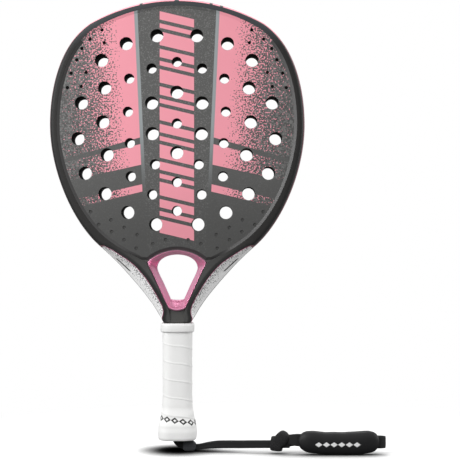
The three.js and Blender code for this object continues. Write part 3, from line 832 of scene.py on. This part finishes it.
def hitch_ring(share):
    """The fold's section from its start, at -1, to its end, at 1, with both ends rounded over."""
    middle, size = (HITCH_LOW + HITCH_HIGH) / 2, HITCH_HIGH - HITCH_LOW
    full = 1 - abs(share) ** 6 * HITCH_THINNING
    top = HITCH_HIGH.z - 0.6 * (1 - smooth((share + 1) / 0.3)) - 1.6 * smooth((share - 0.5) / 0.5)
    bottom = HITCH_LOW.z + 0.9 * (1 - smooth((share + 1) / 0.35)) + 1.1 * smooth((share - 0.55) / 0.45)
    level, half = (top + bottom) / 2 - BUTT_Z, (top - bottom) / 2 * full
    x = middle.x + share * size.x / 2
    return [point(x, middle.y + s * full, level + u * half) for s, u in oval(2, HITCH_THICKNESS, 40, 0.42)]


def make_hitch():
    """The folded end of the strap, sewn down over the neck."""
    rings = [hitch_ring(2 * row / HITCH_ROWS - 1) for row in range(HITCH_ROWS + 1)]
    row_length = (HITCH_HIGH.x - HITCH_LOW.x) / HITCH_ROWS
    obj = loft("hitch_fold", rings, WEBBING_FOLD, lambda i, j: (j * STITCH_PITCH, i * row_length))
    return put(obj, "strap_head", "webbing", "strap_hitch")


# ---- frame outline
def cubic(*handles):
    """A Bezier curve from the first of four places to the last, as a rule of t."""
    def place(t):
        u = 1 - t
        weights = (u ** 3, 3 * u * u * t, 3 * u * t * t, t ** 3)
        return [sum(weight * part for weight, part in zip(weights, parts)) for parts in zip(*handles)]
    return place


def straight(p, q):
    return lambda t: [lerp(a, b, t) for a, b in zip(p, q)]


RIM = 8.6
WIDEST = 320.0
INNER_HALF = HALF_WIDTH - RIM
SHOULDER = (88.9, 422.2)
INNER_SHOULDER = (83.4, 415.6)
WAIST = (79.5, 196.8)
INNER_WAIST = (70.0, 203.5)
CORNER = (30.6, 180.5)
FOOT = (8.4, 133.2)
ARM_ROOT = (53.0, 171.0)
ARM_FOOT = (20.0, 128.8)
SHAFT_END = 119.2
ARM_DEPTH = 16.5  # half depths at the arms' foot and in the collar
SHAFT_DEPTH = 14.0
# Each stretch: outer edge, inner edge, steps, half depth, slope of the sides, paint line's share of the width
STRETCHES = [
    (cubic((0, CROWN), (34, CROWN), (68.5, 434.6), SHOULDER),
     cubic((0, CROWN - RIM), (37, CROWN - RIM), (65, 426.5), INNER_SHOULDER),
     26, (HALF_DEPTH, HALF_DEPTH), (0, 0), (0.5, 0.7)),
    (cubic(SHOULDER, (120.2, 400.4), (HALF_WIDTH, 355.3), (HALF_WIDTH, WIDEST)),
     cubic(INNER_SHOULDER, (112.6, 395), (INNER_HALF, 353), (INNER_HALF, WIDEST)),
     30, (HALF_DEPTH, HALF_DEPTH), (0, 0), (0.7, 0.8)),
    (cubic((HALF_WIDTH, WIDEST), (HALF_WIDTH, 272.2), (106.4, 220.2), WAIST),
     cubic((INNER_HALF, WIDEST), (INNER_HALF, 276), (99, 226), INNER_WAIST),
     34, (HALF_DEPTH, HALF_DEPTH), (0, 0.4), (0.8, 0.93)),
    (cubic(WAIST, (70.5, 188.9), (61.5, 180.5), ARM_ROOT),
     cubic(INNER_WAIST, (58, 194), (44, 187), CORNER),
     16, (HALF_DEPTH, HALF_DEPTH), (0.4, 1), (0.93, 0.42)),
    (cubic(ARM_ROOT, (42.5, 159.2), (28, 143.1), ARM_FOOT),
     straight(CORNER, FOOT),
     24, (HALF_DEPTH, ARM_DEPTH), (1, 1), (0.42, 0.3)),
    (straight(ARM_FOOT, (14.2, SHAFT_END)),
     straight(FOOT, (6.0, SHAFT_END)),
     8, (ARM_DEPTH, SHAFT_DEPTH), (1, 1), (0.3, 0.95)),
]
ARM_STRETCH = 3  # the first stretch whose paint line follows the ridge
# Border between the dark front and the silver sides of the arms
RIDGE = [(84, 200.8), (77, 198.6), (72.9, 196.9), (64, 192.2), (57.3, 187.8), (49.5, 182.8), (42, 176.8),
         (36.3, 170.6), (31, 164), (26.6, 157.4), (20, 146.6), (15, 136.8), (13.6, 131), (14.2, 127),
         (15.2, 124), (15, 121.5), (13.9, 119.3), (13.7, 114)]
RIDGE_SHARES = (0.1, 0.99)  # the ridge counts only this far across the frame
# Half sections: share of the width from the inner edge, and share of the half depth
HEAD_SECTION = [(0, -1), (0.45, -1), (0.68, -0.95), (0.84, -0.74), (0.94, -0.4), (1, 0)]
FULLEST_ARM = 0.9
SECTION_ROUNDS = 2


def arm_section(line):
    """An arm's half section: flat up to the paint line, then sloping away to the outer edge."""
    line = min(line, FULLEST_ARM)
    return [(0, -1), (line - 0.05, -1), (line + 0.02, -0.98), (lerp(line, 1, 0.5), -0.6), (0.97, -0.14),
            (1, 0)]


def crossing(inner, outer):
    """Share of the way from the inner to the outer edge at which the ridge is met."""
    for a, b in zip(RIDGE, RIDGE[1:]):
        place = intersect_line_line_2d(inner, outer, a, b)
        share = math.dist(inner, place) / math.dist(inner, outer) if place else 0.0
        if RIDGE_SHARES[0] <= share <= RIDGE_SHARES[1]:
            return share
    return None


def half_stations():
    """(outer point, inner point, half depth, slope, paint line) down one side from the crown."""
    stations = []
    for n, (outer, inner, steps, depth, slope, line) in enumerate(STRETCHES):
        for i in range(0 if n == 0 else 1, steps + 1):
            t = i / steps
            ridge = crossing(inner(t), outer(t)) if n >= ARM_STRETCH else None
            stations.append((outer(t), inner(t), lerp(*depth, t), lerp(*slope, t), ridge or lerp(*line, t)))
    return stations


RIGHT = half_stations()
STATIONS = [((-o[0], o[1]), (-i[0], i[1]), d, s, w) for o, i, d, s, w in reversed(RIGHT[1:])] + RIGHT


def frame_section(slope, line):
    """Share of the width and of the half depth, from the front inner edge to the back one."""
    pairs = zip(HEAD_SECTION, arm_section(line))
    half = chaikin([[lerp(h, a, slope) for h, a in zip(head, arm)] for head, arm in pairs], SECTION_ROUNDS)
    return half + [[across, -deep] for across, deep in reversed(half[:-1])]


def make_frame():
    rings = []
    edges = []
    for outer, inner, depth, slope, line in STATIONS:
        span = (outer[0] - inner[0], outer[1] - inner[1])
        width = math.hypot(*span)
        section = frame_section(slope, line)
        rings.append([point(inner[0] + span[0] * across, deep * depth, inner[1] + span[1] * across)
                      for across, deep in section])
        edges.append([((across - line) * width, (1 - across) * width) for across, _ in section])
    obj = loft("frame_shell", rings, frame_finish(), lambda i, j: edges[i][j % len(edges[i])])
    return put(obj, "racket", "frame", "frame_tube")


# ---- throat ring
# Right halves of the ring's outer and inner edge, from its top to its bottom
RING_OUTER = [(0, 192.1), (15, 189.4), (26, 183.6), (29.4, 179), (26.6, 173.2), (19.4, 157.8), (10.2, 138),
              (7.2, 133.6), (0, 131.8)]
RING_INNER = [(0, 187.8), (9.5, 186.4), (16.8, 182.4), (20.3, 176.5), (19.6, 170.5), (13.5, 157.5),
              (7.9, 145), (6.3, 142.3), (0, 141.6)]
RING_STEPS = 12  # points between two of the outline's own
RING_DEPTH = 18.4
RING_LIP = 5.0
WALL = 2.0  # marks the ring's outer wall, which closes the gap to the arms
GAP_FILL = 0.7
# Share of the way from the inner to the outer edge, and the depth there
RING_FRONT = [(WALL, -RING_DEPTH + 6), (1, -RING_DEPTH + 1.2), (0.93, -RING_DEPTH), (0.84, -RING_DEPTH + 0.5),
              (0.16, -RING_LIP - 1.4), (0.03, -RING_LIP - 0.3), (0, -RING_LIP + 1.4)]


def both_halves(half):
    """A closed smooth outline from its right half."""
    return smooth_line(half + [(-x, z) for x, z in reversed(half[1:-1])], RING_STEPS, looped=True)


def make_ring():
    """The pink ring between the arms; its front slopes inwards."""
    profile = chaikin(RING_FRONT, 1)
    profile = profile + [(share, -y) for share, y in reversed(profile)]
    rings = []
    for outer, inner in zip(both_halves(RING_OUTER), both_halves(RING_INNER)):
        wall = 1 + GAP_FILL / math.dist(outer, inner)
        shares = [(min(share, wall), y) for share, y in profile]
        rings.append([point(lerp(inner[0], outer[0], share), y, lerp(inner[1], outer[1], share))
                      for share, y in shares])
    return put(loft("throat_ring", rings, ring_finish(), looped=True), "racket", "trim", "throat_insert")


# ---- faces
HOLE = 6.5
SMALL_HOLE = 5.0
CENTRE_HOLES = [(382, SMALL_HOLE), (351.5, HOLE), (320, SMALL_HOLE), (290.6, HOLE), (261, SMALL_HOLE),
                (232, SMALL_HOLE)]
LARGE_PAIRS = [(20.1, 408.4), (51, 400.4), (75.8, 383.6), (72.7, 355.8), (96.1, 340.7), (25.4, 340.7),
               (74.6, 321.6), (24.7, 309.8), (99.6, 304.8), (70.2, 288.5), (92.2, 269.9), (72.3, 249.3),
               (49.4, 230.4), (21.2, 218.3)]
SMALL_PAIRS = [(25.4, 375.4), (47.9, 365.2), (49.3, 331.9), (47.3, 300.2), (22, 278.9), (46.4, 266.8),
               (24.8, 248.5)]
DIMPLES = [(75.4, 414.2), (87.4, 405), (73, 401.3), (95.5, 395.5), (100.7, 384.1), (106.5, 370.6),
           (91.2, 371.5), (110.2, 356.1), (96.1, 357.3), (86.9, 230.9), (66.2, 222.8), (78.6, 218.1),
           (52.9, 215.2), (65.6, 210.9), (39.8, 207.9), (53.1, 202.7), (24.2, 198.8), (40.7, 194.2),
           (11.3, 202.8)]
HOLE_STEPS = 48
HOLE_LIPS = [0.45, 0.135, 0.0, 0.0]  # how much wider a hole is at the face and at each depth
HOLE_DEPTHS = [0.12, 0.45, 1.2]
DIMPLE_RADII = [1.95, 1.7, 1.36]
DIMPLE_DEPTHS = [0.2, 0.7]
DIMPLE_STEPS = 16
SOFT_DIMPLES = 240.0  # the dimples below this height are grey inside
BEVEL = 2.9  # width of the slope from the rim down to the face
SHARPEST = 0.6  # limits how far a sharp corner moves inwards
PAINTED_BEVEL = 404.0  # above this height the face's paint goes on up the slope
RIM_LEVEL = HALF_DEPTH - 0.05
GROOVE = 1.2  # dark groove between the ring's top and the face
GROOVE_LEVEL = SKIN_FRONT - 1.5
GROOVE_END = 28.6  # from here outwards the groove rises to the rim
GROOVE_RISE = 34.0
WALL_FROM = 0.25  # the sides that lead down deeper than this are unpainted


def holes():
    paired = [(side * x, z, radius) for pairs, radius in ((LARGE_PAIRS, HOLE), (SMALL_PAIRS, SMALL_HOLE))
              for x, z in pairs for side in (1, -1)]
    return [(0, z, radius) for z, radius in CENTRE_HOLES] + paired


def face_outline():
    """The inside edge of the frame, closed above the ring's groove."""
    right = [inner for _, inner, _, _, _ in RIGHT if inner[1] > CORNER[1] + 1.5]
    top = [(x, z + GROOVE) for x, z in both_halves(RING_OUTER) if z > CORNER[1] - 0.4]
    top = sorted((p for p in top if abs(p[0]) < CORNER[0] - 2), reverse=True)
    return [(-x, z) for x, z in reversed(right[1:])] + right + top


def inset(outline, distance):
    """The outline moved inwards, its sharp corners cut short."""
    line = [Vector(place) for place in outline]
    following = line[1:] + line[:1]
    sign = math.copysign(1, sum(a.cross(b) for a, b in zip(line, following)))
    edges = [(b - a).normalized() for a, b in zip(line, following)]
    moved = []
    for here, before, after in zip(line, edges[-1:] + edges[:-1], edges):
        inwards = (before + after).orthogonal() * sign
        moved.append(here + inwards.normalized() * distance / max(inwards.length / 2, SHARPEST))
    return moved


def circle(x, z, radius, steps):
    return [(x + radius * c, z + radius * s) for c, s in directions(steps)]


def border_level(x, z):
    """Depth of the face's outer edge: up at the rim, and down in the groove above the ring."""
    rise = smooth((abs(x) - GROOVE_END) / GROOVE_RISE)
    return lerp(GROOVE_LEVEL, RIM_LEVEL, max(rise, smooth((z - WIDEST) / GROOVE_RISE)))


def ring_of(bm, places):
    return [bm.verts.new(point(*place)) for place in places]


def join(bm, upper, lower, layer=PAINT):
    """A strip of faces between two equal rings."""
    for a, b, c, d in zip(upper, upper[1:] + upper[:1], lower[1:] + lower[:1], lower):
        bm.faces.new((a, b, c, d)).material_index = layer


class FaceMesh:
    """A laminate under construction; side is -1 for the front and 1 for the back."""

    def __init__(self, side):
        self.side = side
        self.bm = bmesh.new()
        self.surface_edges = []

    def ring(self, line, depth):
        """A ring of vertices along a line, so far below the face."""
        y = self.side * (SKIN_FRONT - depth)
        return ring_of(self.bm, [(x, y, z) for x, z in line])

    def surface_ring(self, line):
        """A ring in the face itself, which the flat part will be filled up to."""
        ring = self.ring(line, 0.0)
        self.surface_edges.extend(self.bm.edges.new(pair) for pair in zip(ring, ring[1:] + ring[:1]))
        return ring

    def edge(self, outline):
        """The slope between the flat face and the frame, painted only near the crown."""
        border = self.surface_ring(inset(outline, BEVEL))
        join(self.bm, border, ring_of(self.bm, [(x, self.side * border_level(x, z), z) for x, z in outline]))
        for face in self.bm.faces:
            if face.calc_center_median().z / MM - BUTT_Z < PAINTED_BEVEL:
                face.material_index = BEVEL_SIDE

    def sink(self, x, z, radii, depths, steps):
        """Rings at growing depths, joined from the face down; returns the lowest."""
        upper = self.surface_ring(circle(x, z, radii[0], steps))
        for radius, depth in zip(radii[1:], depths):
            lower = self.ring(circle(x, z, radius, steps), depth)
            join(self.bm, upper, lower, HOLE_WALL if depth > WALL_FROM else PAINT)
            upper = lower
        return upper

    def hole(self, x, z, radius):
        self.sink(x, z, [radius + lip for lip in HOLE_LIPS], HOLE_DEPTHS, HOLE_STEPS)

    def dimple(self, x, z):
        made = len(self.bm.faces)
        floor = self.sink(x, z, DIMPLE_RADII, DIMPLE_DEPTHS, DIMPLE_STEPS)
        self.bm.faces.new(floor).material_index = HOLE_WALL
        if z < SOFT_DIMPLES:
            for face in list(self.bm.faces)[made:]:
                face.material_index = DIMPLE_FLOOR

    def fill(self):
        """The flat part, with its outline and all its holes made before."""
        bmesh.ops.triangle_fill(self.bm, edges=self.surface_edges, use_beauty=True, use_dissolve=False,
                                normal=(0, self.side, 0))
        bmesh.ops.recalc_face_normals(self.bm, faces=self.bm.faces)


def make_face(name, side, node):
    face = FaceMesh(side)
    face.edge(face_outline())
    for x, z, radius in holes():
        face.hole(x, z, radius)
    for x, z in DIMPLES:
        face.dimple(x, z)
        face.dimple(-x, z)
    face.fill()
    obj = make_object(name, finished_mesh(name, face.bm), FACE_LAYERS, smooth_faces=False)
    return put(obj, "racket", "face", node)


def make_core():
    """Foam seen inside the holes: one dark tube through each."""
    bm = bmesh.new()
    depth = SKIN_FRONT - HOLE_DEPTHS[-1]
    for x, z, radius in holes():
        line = circle(x, z, radius, HOLE_STEPS)
        front, back = (ring_of(bm, [(px, y, pz) for px, pz in line]) for y in (-depth, depth))
        join(bm, front, back)
    obj = make_object("core_holes", finished_mesh("core_holes", bm), [HOLE_DARK])
    return put(obj, "racket", "foam", "core_foam")


def finish_node(node, material):
    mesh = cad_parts[node].data
    mesh.materials.clear()
    mesh.materials.append(material)


# ---- handle
# Height over the butt end and half width; the handle is deeper than wide
GRIP_PROFILE = [(0.4, 18.9), (1.2, 19.6), (3, 20.05), (8, 20.2), (14, 19.6), (24, 17.3), (34, 15.6),
                (45, 15.2), (80, 15.2), (104, 15.4), (112, 15.4)]
GRIP_LOW, GRIP_HIGH = GRIP_PROFILE[0][0], GRIP_PROFILE[-1][0]
GRIP_ROWS = 260
GRIP_UNDER_TAPE = 0.25  # the tape lies this far inside the profile, its edges stand out
HANDLE_SIDES = 96
HANDLE_DEPTH = 1.0  # deeper than wide by this much on each side
SQUARENESS = 0.62
PLAIN_BUTT = 13.0  # no tape edge shows below this height
TAPE_STEP = 0.28  # height of the overlapping edge of the tape
CAP_PROFILE = [(1.6, 18.6), (0.5, 18.0), (0.1, 16.6), (0, 15.0), (0, 7.6), (0.5, 7.1), (3.0, 7.0), (3.2, 0.5)]


def handle_ring(z, halves):
    """The handle's squared section at a height, with a half width for each of its points."""
    ring = []
    for (c, s), half in zip(directions(HANDLE_SIDES), halves):
        x = signed_power(c, SQUARENESS) * half
        y = signed_power(s, SQUARENESS) * (half + HANDLE_DEPTH)
        ring.append(point(x, y, z))
    return ring


def handle_rings(profile):
    return [handle_ring(z, [half] * HANDLE_SIDES) for z, half in profile]


def girth_at(z):
    """Distances round the grip at a height, scaled so that a whole number of marks goes round."""
    ring = handle_ring(z, [value_at(GRIP_PROFILE, z, smooth)] * HANDLE_SIDES)
    run = travelled([place / MM for place in ring + ring[:1]])
    fit = MARK_PITCH * round(run[-1] / MARK_PITCH) / run[-1]
    return [distance * fit for distance in run]


def make_grip():
    girth = girth_at(MARK_Z)

    def height(row):
        return lerp(GRIP_LOW, GRIP_HIGH, row / GRIP_ROWS)

    def turn_at(row, i):
        """Share of a tape's width from its edge; the butt is wrapped without a visible edge."""
        z = height(row)
        return (z / WRAP_PITCH + i / HANDLE_SIDES + WRAP_START) % 1.0 if z > PLAIN_BUTT else 0.5

    def lift(turn):
        return TAPE_STEP * (1 - smooth(turn / 0.1)) * smooth((1 - turn) / 0.02) if turn < 0.5 else 0.0

    rings = []
    for row in range(GRIP_ROWS + 1):
        half = value_at(GRIP_PROFILE, height(row), smooth) - GRIP_UNDER_TAPE
        halves = [half + lift(turn_at(row, i)) for i in range(HANDLE_SIDES)]
        rings.append(handle_ring(height(row), halves))
    obj = loft("grip_wrap", rings, grip_finish(), lambda i, j: (turn_at(i, j), girth[j]))
    return put(obj, "racket", "grip", "overgrip", "base_grip", "finishing_tape")


def make_collar():
    """The rubber band over the grip's top end."""
    half = COLLAR_HIGH.x
    low, high = COLLAR_LOW.z - BUTT_Z, COLLAR_HIGH.z - BUTT_Z
    profile = [(low, half - 1.7), (low, half - 0.7), (low + 0.5, half - 0.1), (low + 1.4, half),
               (high - 2.6, half), (high - 1.0, half - 0.35), (high - 0.2, half - 1.0), (high, half - 2.0),
               (high, half - 6)]
    return put(loft("collar_band", handle_rings(profile), COLLAR_RUBBER), "racket", "collar", "grip_collar")


def make_cap():
    """The cap's underside, a little above the grip's turned-in edge."""
    return put(loft("cap_underside", handle_rings(CAP_PROFILE), CAP_PLASTIC), "racket", "cap", "butt_cap")


# ---- stage and light
FLOOR_REACH = 12.0  # metres
FLOOR_CENTRE = (90.0, -20.0)
FLOOR_FADE = (180.0, 420.0)  # where the floor turns into plain white
WHITE = (1, 1, 1, 1)
UNLIT = (0, 0, 0, 1)
FLOOR_COLOUR = (0.8, 0.8, 0.8, 1.0)
FLOOR_BOUNCE = (0.18, 0.18, 0.18, 1.0)
# Painted shadow: ambient occlusion within this reach darkens the floor's colour, raised to this power
CONTACT_REACH = 30.0
CONTACT_DEPTH = 1.5
CONTACT_BUTT = 4.2  # the painted shadow is so much deeper under the butt
CONTACT_FADE = (25.0, 75.0)
AIM = (0, 0, 0.25)
# Each light: name, place, target, size and power
LIGHTS = [("key", (-0.8, -0.95, 0.62), AIM, 0.6, 8.7),
          ("left_side", (-0.8, -0.45, 0.66), (0, 0, 0.34), 0.5, 2.6),
          ("right_side", (1.4, 0.0, 0.5), AIM, 0.8, 8),
          ("top", (0.0, 0.6, 1.9), AIM, 0.8, 15)]
SKY_LOW = 0.52
SKY_HIGH = 1.05
SKY_RISE = (-0.1, 0.9)
SKY_LEAN = 0.03  # the left is lighter than the right by this much


def make_floor():
    """A white floor with contact shadows, deepened by painted shadow from ambient occlusion, which throws
    only a little light back at the racket.
    """
    mesh = bpy.data.meshes.new("floor")
    corners = [(x * FLOOR_REACH, y * FLOOR_REACH, FLOOR_Z) for x, y in ((-1, -1), (1, -1), (1, 1), (-1, 1))]
    mesh.from_pydata(corners, [], [(0, 1, 2, 3)])
    shade = Shade("floor_white", Roughness=0.9, Specular_IOR_Level=0.0)
    x, y, _ = shade.place()
    glow = (shade.distance(x, y, FLOOR_CENTRE)).ramp(*FLOOR_FADE)
    # painted shadow: the floor's colour is darkened by ambient occlusion, most under the butt
    contact = shade.nodes.new("ShaderNodeAmbientOcclusion")
    contact.inputs["Distance"].default_value = CONTACT_REACH * MM
    depth = CONTACT_DEPTH + CONTACT_BUTT * (1 - (shade.distance(x, y)).ramp(*CONTACT_FADE))
    near = shade.math("POWER", Field(shade, contact.outputs["AO"]), depth)
    seen = shade.seen()
    shade.colour(shade.mix(seen, FLOOR_BOUNCE, shade.mix(glow, shade.tint(FLOOR_COLOUR, near), UNLIT)))
    shade.shader.inputs["Emission Color"].default_value = WHITE
    shade.feed(shade.shader.inputs["Emission Strength"], seen * glow)
    make_object("floor", mesh, [shade.material], smooth_faces=False)


def make_light(name, place, target, size, power):
    data = bpy.data.lights.new(name, "AREA")
    data.shape = "DISK"
    data.size = size
    data.energy = power
    light = linked(name, data)
    light.location = place
    light.rotation_euler = (Vector(target) - Vector(place)).to_track_quat("-Z", "Y").to_euler()


def make_sky():
    """White where the camera looks past the racket; dimmer, and lighter above and on the left, as a light."""
    world = bpy.data.worlds.new("studio")
    world.use_nodes = True
    bpy.context.scene.world = world
    sky = NodeMaths(world.node_tree)
    across, _, up = sky.coordinates("Generated")
    seen = sky.seen()
    light = SKY_LOW + (SKY_HIGH - SKY_LOW) * up.ramp(*SKY_RISE) - SKY_LEAN * across
    background = sky.nodes["Background"]
    background.inputs["Color"].default_value = WHITE
    sky.feed(background.inputs["Strength"], seen + (1 - seen) * light)


# ---- the racket, its strap and the picture
for node in ("throat_bridge", "shaft_wedge"):
    finish_node(node, THROAT_DARK)
keeper, tail, wrist_loop, pad = make_keeper(), make_tail(), make_loop(), make_pad()
declare_cord(tail, TAIL_ROUTE, 2, keeper)
declare_cord(wrist_loop, LOOP_ROUTE, 3, [pad])
make_anchor()
make_hitch()
make_frame()
make_ring()
make_face("front_laminate", -1, "front_face")
make_face("back_laminate", 1, "back_face")
make_core()
make_grip()
make_collar()
make_cap()
make_floor()
make_sky()
for light in LIGHTS:
    make_light(*light)
make_camera()
bpy.context.scene.view_settings.view_transform = "Standard"
